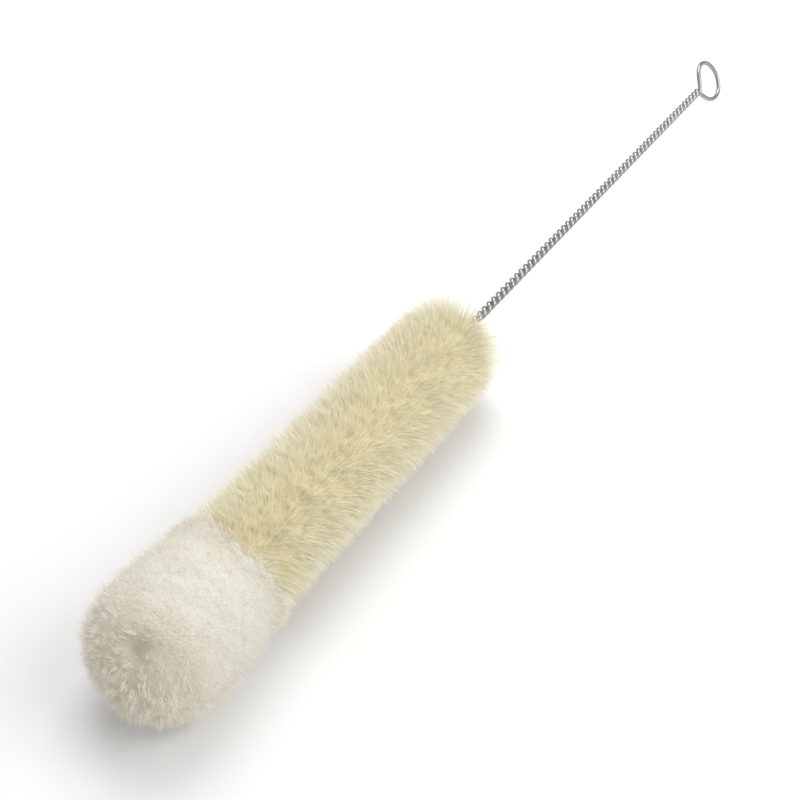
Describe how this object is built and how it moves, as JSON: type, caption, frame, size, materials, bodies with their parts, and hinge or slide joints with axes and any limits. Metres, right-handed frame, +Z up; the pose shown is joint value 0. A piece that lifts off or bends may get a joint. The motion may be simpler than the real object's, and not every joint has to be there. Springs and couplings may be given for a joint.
{
  "type": "bottle brush",
  "caption": "Bottle brush with a twisted wire stem and hanging ring, a long pale bristle section and a wool tuft that covers its tip.",
  "frame": {"origin": "on the surface that the brush lies on, below the middle of its overall length", "axes": "+X along the stem towards the hanging ring, +Z up, +Y to the side; the wool tuft is at -X"},
  "size_m": [0.4, 0.0466, 0.0428],
  "materials": {
    "wire": "galvanised steel wire, bright, lightly drawn",
    "bristle": "natural cream bristle, fine straight hairs, soft sheen",
    "wool": "off-white fleecy wool, matt, loosely clumped fibres"
  },
  "bodies": {
    "root": {"twisted_wire": "wire", "bristles": "bristle", "wool_tuft": "wool"}
  },
  "joints": []
}
